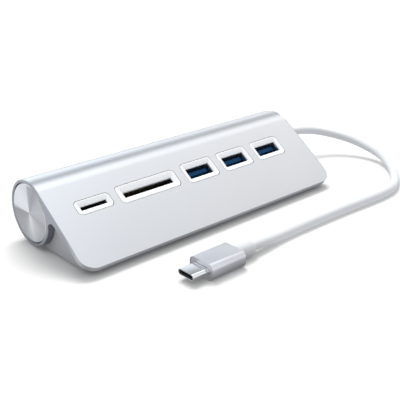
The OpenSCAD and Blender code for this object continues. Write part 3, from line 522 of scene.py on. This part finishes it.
class Shader:
    """The node tree of a material or of the world, and the one method that adds any node to it."""

    def __init__(self, tree):
        self.tree = tree
        tree.nodes.clear()

    def add(self, kind, sockets=None, output=0, **settings):
        node = self.tree.nodes.new(kind)
        stops = settings.pop("stops", None)
        for name, value in settings.items():
            setattr(node, name, value)
        if stops:
            ramp = node.color_ramp
            while len(ramp.elements) < len(stops):
                ramp.elements.new(0.5)
            for element, (place, colour) in zip(ramp.elements, stops):
                element.position, element.color = place, colour
        for name, value in (sockets or {}).items():
            feed(self.tree, node.inputs[name], value)
        return Signal(node.outputs[output]) if node.outputs else None

    def mix(self, share, first, second):
        """Colour first where share is 0 and second where it is 1."""
        return self.add("ShaderNodeMix", {0: share, 6: first, 7: second}, output=2, data_type="RGBA")

    def place(self):
        return self.add("ShaderNodeTexCoord", output="Object")

    def axes(self, vector=None):
        """The three coordinates of the surface, in metres, as separate signals."""
        node = self.add("ShaderNodeSeparateXYZ", {0: vector or self.place()}).socket.node
        return [Signal(s) for s in node.outputs]

    def noise(self, per_metre, detail=2.0, stretch=(1, 1, 1)):
        """Soft random pattern of about per_metre patches to the metre, drawn out along an axis by stretch."""
        spread = self.add("ShaderNodeMapping", {"Vector": self.place(), "Scale": stretch})
        return self.add("ShaderNodeTexNoise", {"Vector": spread, "Scale": per_metre, "Detail": detail})

    def bump(self, height, distance, strength=1.0):
        """Shading normal of a surface that stands out by height times distance, in metres."""
        return self.add("ShaderNodeBump", {"Height": height, "Distance": distance, "Strength": strength})

    def finish(self, sockets):
        shade = self.add("ShaderNodeBsdfPrincipled", sockets)
        self.add("ShaderNodeOutputMaterial", {"Surface": shade})


FINISHES = {}


def new_finish(name):
    """A material under that slot's name and the shader that fills it."""
    made = bpy.data.materials.new(name)
    made.use_nodes = True
    FINISHES[name] = made
    return Shader(made.node_tree)


# %% [markdown]
# ## Aluminium
# The extrusion is bead-blasted before it is anodised, which leaves a fine, even, slightly sparkling grain.
# The discs are turned and clear, with a cut chamfer that is left bright. The plug has the same skin as the
# plate but a little rougher. Three tones are painted rather than lit: the sawn ends, the hollow under the
# plate and the fan on the discs. They stay at their places on the metal and don't move with the light, as
# real ones would.

# %% Blasted plate, spun disc, plug sleeve
HALF_LENGTH = 68.0
END_ROUGH_AND_SHADE_FADE = (-0.024, -0.012)                # the painted shade and roughness on the sawn ends fade out before the plate's front corners
UNDER_PLATE = (-0.0026, -0.0022)            # below the plate's face, measured out of it
UNDER_DRUM = (0.008, 0.009)                 # along Y, where the hollow under the plate meets the drum
# Painted reflection: places round the disc, as shares of a turn, and how light the painted fan makes its
# metal there
PAINTED_REFLECTION_FAN = ((0.0, 0.62), (0.04, 0.54), (0.11, 0.72), (0.16, 0.82), (0.22, 1.0), (0.25, 0.86), (0.32, 0.6),
       (0.40, 0.5), (0.483, 0.45), (0.511, 0.97), (0.64, 1.0), (0.73, 0.95), (0.755, 0.6), (0.815, 0.5),
       (0.885, 0.64), (0.95, 0.66), (1.0, 0.62))

s = new_finish("anodised_plate")
grain, patches, wear = s.noise(5200, 3), s.noise(900), s.noise(28, 3)
x, y, z = s.axes()
# Painted shade on the sawn ends: their metal is drawn darker, and also a little rougher, up to just before
# the front corners.
end_rough_and_painted_shade = x.without_sign().between((HALF_LENGTH - 0.4) * MM, (HALF_LENGTH - 0.1) * MM)
end_rough_and_painted_shade = end_rough_and_painted_shade * y.between(*END_ROUGH_AND_SHADE_FADE)
out_of_plate = math.cos(PLATE_SLOPE) * (z - LIP_Z * MM) - math.sin(PLATE_SLOPE) * (y - LIP_Y * MM)
shaded = (1.0 - out_of_plate.between(*UNDER_PLATE)) * (1.0 - y.between(*UNDER_DRUM))
skin = s.mix(wear, (0.80, 0.815, 0.845, 1), (0.86, 0.87, 0.89, 1))
# Base colour: the worn skin, with painted shade in the hollow under the plate and painted shade on the sawn
# ends.
s.finish({
    "Base Color": s.mix(end_rough_and_painted_shade, s.mix(shaded, skin, (0.30, 0.305, 0.35, 1)), (0.47, 0.485, 0.52, 1)),
    "Metallic": 1.0,
    "Roughness": 0.25 + 0.07 * patches + 0.04 * wear + 0.1 * end_rough_and_painted_shade,
    "Normal": s.bump(grain, 0.00002, 0.5),
})

s = new_finish("spun_disc")
x, y, z = s.axes()
radius = ((y - DRUM_Y * MM) ** 2 + (z - DRUM_Z * MM) ** 2) ** 0.5
chamfer = radius.between((DISC_R - DISC_CHAMFER) * MM, (DISC_R - DISC_CHAMFER + 0.05) * MM)
scratches = s.noise(900, 4, (1, 0.3, 1))
round_share = (z - DRUM_Z * MM).angle_over(y - DRUM_Y * MM) / (2 * math.pi) + 0.5
# Painted reflection: the fan of light and dark sectors is drawn into the base colour by angle round the disc.
painted_reflection_fan = s.add("ShaderNodeValToRGB", {"Fac": round_share}, output="Color", stops=[
    (share, (0.96 * level, 0.975 * level, level, 1)) for share, level in PAINTED_REFLECTION_FAN])
s.finish({
    "Base Color": s.mix(chamfer, painted_reflection_fan, (0.80, 0.81, 0.84, 1)),
    "Metallic": 1.0,
    "Roughness": 0.27 + 0.08 * scratches - 0.1 * chamfer,
})

s = new_finish("plug_aluminium")
grain, patches = s.noise(6500, 2), s.noise(700)
s.finish({
    "Base Color": s.mix(patches, (0.82, 0.83, 0.86, 1), (0.87, 0.88, 0.91, 1)),
    "Metallic": 1.0,
    "Roughness": 0.36 + 0.08 * patches,
    "Normal": s.bump(grain, 0.000015, 0.5),
})

# %% [markdown]
# ## Steel and gold
# The plug's mouth is polished stainless steel, the sockets are thin nickel-plated sheet that shows the marks
# of its rolling, and every contact has a flash of gold. The spring is drawn wire.

# %% Steel and gold
s = new_finish("polished_steel")
smudge = s.noise(260, 3)
s.finish({"Base Color": s.mix(smudge, (0.90, 0.91, 0.93, 1), (0.95, 0.955, 0.96, 1)), "Metallic": 1.0,
          "Roughness": 0.07 + 0.08 * smudge})

s = new_finish("plated_steel")
rolled = s.noise(2600, 4, (0.06, 1, 1))
s.finish({"Base Color": s.mix(rolled, (0.58, 0.58, 0.59, 1), (0.72, 0.72, 0.73, 1)), "Metallic": 1.0,
          "Roughness": 0.22 + 0.16 * rolled, "Normal": s.bump(rolled, 0.00001, 0.6)})

s = new_finish("spring_steel")
drawn = s.noise(3000, 3, (1, 1, 0.3))
s.finish({"Base Color": s.mix(drawn, (0.45, 0.45, 0.47, 1), (0.62, 0.62, 0.63, 1)), "Metallic": 1.0,
          "Roughness": 0.25 + 0.15 * drawn})

s = new_finish("contact_gold")
flash = s.noise(2200, 3)
s.finish({"Base Color": s.mix(flash, (0.38, 0.25, 0.09, 1), (0.52, 0.37, 0.15, 1)), "Metallic": 1.0,
          "Roughness": 0.2 + 0.15 * flash})

# %% [markdown]
# ## Plastics, rubber and the board
# Moulded plastic is never one flat colour: it has a faint orange-peel or spark-eroded texture, and its gloss
# changes a little from place to place. The white cable and its collar are a soft rubbery plastic with a dull
# sheen. The board is green lacquer over copper lines, which show as faint raised stripes.

# %% Plastics and rubber


def moulded(name, dark, light, roughness, texture, depth, extra=None):
    """Moulded plastic: two close tones mixed by broad patches, and a fine texture standing out by depth."""
    s = new_finish(name)
    patches, fine = s.noise(60, 3), s.noise(texture, 2)
    sockets = {
        "Base Color": s.mix(patches, (*dark, 1), (*light, 1)),
        "Roughness": roughness + 0.1 * (fine - 0.5) + 0.06 * (patches - 0.5),
        "Normal": s.bump(fine, depth, 0.6),
    }
    s.finish(sockets | (extra or {}))


moulded("bezel_white", (0.86, 0.865, 0.87), (0.91, 0.91, 0.915), 0.34, 3500, 0.000008)
moulded("base_plastic", (0.50, 0.505, 0.515), (0.56, 0.565, 0.575), 0.48, 4200, 0.00002)
moulded("inner_plastic", (0.76, 0.75, 0.70), (0.83, 0.82, 0.77), 0.5, 2500, 0.00001)
moulded("foot_rubber", (0.055, 0.055, 0.06), (0.085, 0.085, 0.09), 0.85, 3000, 0.00004)
moulded("chip_black", (0.018, 0.018, 0.019), (0.03, 0.03, 0.031), 0.62, 5200, 0.00002)
moulded("capacitor_tan", (0.38, 0.25, 0.14), (0.50, 0.36, 0.22), 0.45, 5000, 0.00001)
moulded("tongue_blue", (0.001, 0.045, 0.13), (0.002, 0.068, 0.19), 0.22, 3200, 0.000008,
        {"Specular IOR Level": 0.12})
moulded("socket_black", (0.012, 0.012, 0.013), (0.022, 0.022, 0.023), 0.45, 4200, 0.00001)
moulded("cable_white", (0.66, 0.67, 0.68), (0.71, 0.715, 0.72), 0.42, 2400, 0.000012, {"Sheen Weight": 0.15})
moulded("wire_red", (0.42, 0.02, 0.015), (0.55, 0.04, 0.03), 0.4, 1500, 0.00001)

s = new_finish("board_laminate")
stripes = s.add("ShaderNodeTexWave", {"Vector": s.place(), "Scale": 260.0, "Distortion": 2.5, "Detail": 1.0})
tracks = stripes.between(0.55, 0.7)
weave = s.noise(2500, 2)
s.finish({"Base Color": s.mix(tracks, (0.008, 0.10, 0.045, 1), (0.02, 0.19, 0.085, 1)),
          "Roughness": 0.34 + 0.12 * weave, "Normal": s.bump(tracks + 0.2 * weave, 0.00003, 0.6)})

# %% Give every piece the finish of its slot
slot_of = {part["node"]: part["material_slot"] for part in frame["record"]["subparts"]}
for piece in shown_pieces():
    name = piece.get("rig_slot") or slot_of[piece["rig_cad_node"]]
    if len(piece.data.materials) == 0:
        piece.data.materials.append(FINISHES[name])
    for i in range(len(piece.data.materials)):
        piece.data.materials[i] = FINISHES[name]

# %% [markdown]
# ## The set
# A white table that runs out of sight, a bright room and one broad lamp above and behind the hub. Metal shows
# what is around it, so the room is what gives the drum its bands: bright just over the horizon behind the
# hub, dim above that, brightest near the top, and a little lower towards the front. It is drawn as a function
# of direction in the world's own shader. The table is plain paint to the eye. To the metal it is a soft glow,
# set lower close to the hub and the plug and far behind them, in place of the shade that lies there.

# %% Floor
HUB_HALF, HUB_REACH = (0.066, 0.021), 0.018          # half the footprint, and how far its shade reaches
PLUG_AT, PLUG_HALF, PLUG_REACH = (-0.026, -0.0496), (0.009, 0.0062), 0.028
GLOW_LEAST, GLOW_MORE, GLOW_LOST_BEHIND = 0.14, 0.7, 0.45
BEHIND_FROM, BEHIND_TO = 0.09, 0.2
floor_mesh = bpy.data.meshes.new("table_top")
floor_mesh.from_pydata([(-6, -6, 0), (6, -6, 0), (6, 6, 0), (-6, 6, 0)], [], [(0, 1, 2, 3)])
floor = bpy.data.objects.new("table_top", floor_mesh)
bpy.context.scene.collection.objects.link(floor)
table_paint = bpy.data.materials.new("table_paint")
table_paint.use_nodes = True
s = Shader(table_paint.node_tree)
seen = s.add("ShaderNodeLightPath", output="Is Camera Ray")
lit = s.add("ShaderNodeBsdfDiffuse", {"Color": (0.80, 0.785, 0.765, 1)})
x, y, z = s.axes()


def clear_of(x, y, centre, half, reach):
    """0 under a box on the floor, rising to 1 where the distance to the box is more than the reach."""
    past_x = ((x - centre[0]).without_sign() - half[0]).at_least(0.0)
    past_y = ((y - centre[1]).without_sign() - half[1]).at_least(0.0)
    return ((past_x ** 2 + past_y ** 2) ** 0.5).between(-0.2 * reach, reach)


open_floor = clear_of(x, y, (0, 0), HUB_HALF, HUB_REACH) * clear_of(x, y, PLUG_AT, PLUG_HALF, PLUG_REACH)
behind = y.between(BEHIND_FROM, BEHIND_TO)
glow = (GLOW_LEAST + GLOW_MORE * open_floor) * (1.0 - GLOW_LOST_BEHIND * behind)
dim = s.add("ShaderNodeEmission", {"Color": (0.95, 0.965, 1.0, 1), "Strength": glow})
s.add("ShaderNodeOutputMaterial", {"Surface": s.add("ShaderNodeMixShader", {0: seen, 1: dim, 2: lit})})
floor_mesh.materials.append(table_paint)

# %% Room


def grey(level, blue=1.0):
    """A light of that level, its red and green a little under its blue where blue is over 1."""
    return (level / blue**0.6, level / blue**0.3, level, 1)


room = bpy.data.worlds.new("room")
bpy.context.scene.world = room
room.use_nodes = True
s = Shader(room.node_tree)
dx, dy, dz = s.axes(s.add("ShaderNodeTexCoord", output="Generated"))
turn_up = dz.angle_over(dy) / math.pi
bands = s.add("ShaderNodeValToRGB", {"Fac": turn_up}, output="Color", stops=[
    (0.0, grey(1.05, 1.1)), (0.08, grey(1.25, 1.1)), (0.16, grey(1.15, 1.08)), (0.215, grey(0.85, 1.1)),
    (0.25, grey(0.42, 1.14)), (0.30, grey(0.34, 1.14)), (0.34, grey(0.62, 1.08)), (0.385, grey(1.25)),
    (0.45, grey(1.42)), (0.505, grey(1.2)), (0.545, grey(0.92)), (0.60, grey(0.66)), (0.70, grey(0.72)),
    (1.0, grey(0.9, 1.05)),
])
sides = s.add("ShaderNodeValToRGB", {"Fac": dx * 0.5 + 0.5}, output="Color", stops=[
    (0.02, grey(0.3, 1.05)), (0.2, grey(1.0, 1.05)), (0.68, grey(1.15, 1.15)), (0.75, grey(1.06, 1.1)),
    (0.8, grey(0.9, 1.02)), (0.84, grey(0.92)), (0.9, grey(1.0)),
])
bands = s.add("ShaderNodeMix", {0: 1.0, 6: bands, 7: sides}, output=2,
              data_type="RGBA", blend_type="MULTIPLY")
s.add("ShaderNodeOutputWorld", {"Surface": s.add("ShaderNodeBackground", {"Color": bands, "Strength": 1.0})})

# %% Lamp and colour handling
lamp = bpy.data.objects.new("broad_lamp", bpy.data.lights.new("broad_lamp", "AREA"))
bpy.context.scene.collection.objects.link(lamp)
lamp.data.shape = "RECTANGLE"
lamp.data.size, lamp.data.size_y = 0.55, 0.35
lamp.data.energy = 7.5
lamp.visible_glossy = False      # it casts the soft shadows, and the room alone makes the metal's bands
lamp.location = (0.22, 0.42, 0.8)
lamp.rotation_euler = Vector(lamp.location).to_track_quat("Z", "Y").to_euler()
bpy.context.scene.view_settings.view_transform = "Standard"
